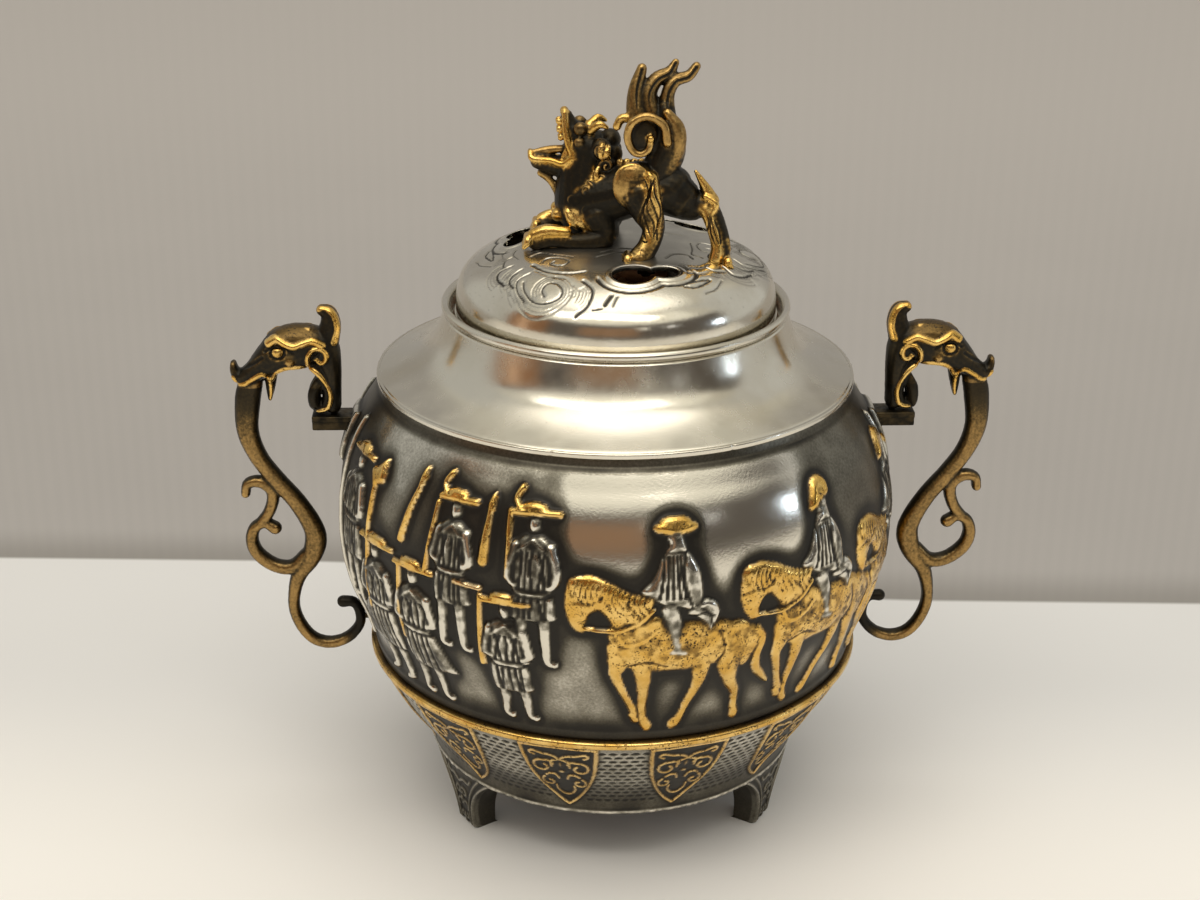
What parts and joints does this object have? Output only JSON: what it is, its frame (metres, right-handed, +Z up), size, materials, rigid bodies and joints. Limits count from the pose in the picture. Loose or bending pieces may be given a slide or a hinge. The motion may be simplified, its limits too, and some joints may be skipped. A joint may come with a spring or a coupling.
{
  "type": "tripod incense burner",
  "caption": "Round-bellied metal incense burner on low feet, with beast-head scroll handles, flared silver collar, hanging ash liner and pierced dome lid with a lion finial.",
  "frame": {"origin": "on the floor under the axis of the bowl", "axes": "+Z up, front of the frieze towards -Y, handles on +X and -X"},
  "size_m": [0.214, 0.1584, 0.2193],
  "materials": {
    "silver": "polished silver, warm, with light tarnish",
    "dark_silver": "oxidised silver ground, rubbed bright on the high parts",
    "gilt": "worn fire gilding with dark pits",
    "bronze": "gilt bronze with dark brown patina in the recesses",
    "dark_bronze": "dark patinated bronze",
    "copper": "dull hammered copper"
  },
  "bodies": {
    "vessel": {"bowl": "dark_silver", "seam_bead": "gilt", "base_band": "dark_silver", "base_plate": "dark_silver", "foot_back": "dark_silver", "foot_front_right": "dark_silver", "foot_front_left": "dark_silver", "foot_rivet_back": "dark_bronze", "foot_rivet_front_right": "dark_bronze", "foot_rivet_front_left": "dark_bronze", "handle_right": "bronze", "handle_left": "bronze", "handle_bracket_right": "dark_bronze", "handle_bracket_left": "dark_bronze", "handle_pin_right": "dark_bronze", "handle_pin_left": "dark_bronze", "bracket_screw_right": "dark_bronze", "bracket_screw_left": "dark_bronze", "handle_stud_right": "dark_bronze", "handle_stud_left": "dark_bronze", "collar": "silver", "collar_edge_wire": "silver", "collar_bezel": "silver", "collar_rim": "silver"},
    "liner": {"ash_liner": "copper"},
    "lid": {"lid_dome": "silver", "lid_flange": "silver", "lion_finial": "bronze", "finial_stud_1": "dark_bronze", "finial_nut_1": "dark_bronze", "finial_stud_2": "dark_bronze", "finial_nut_2": "dark_bronze"}
  },
  "joints": [
    {"name": "liner_lift", "type": "slide", "parent": "vessel", "child": "liner", "axis": [0, 0, 1], "range_m": [0, 0.09]},
    {"name": "lid_lift", "type": "slide", "parent": "liner", "child": "lid", "axis": [0, 0, 1], "range_m": [0, 0.06]}
  ]
}
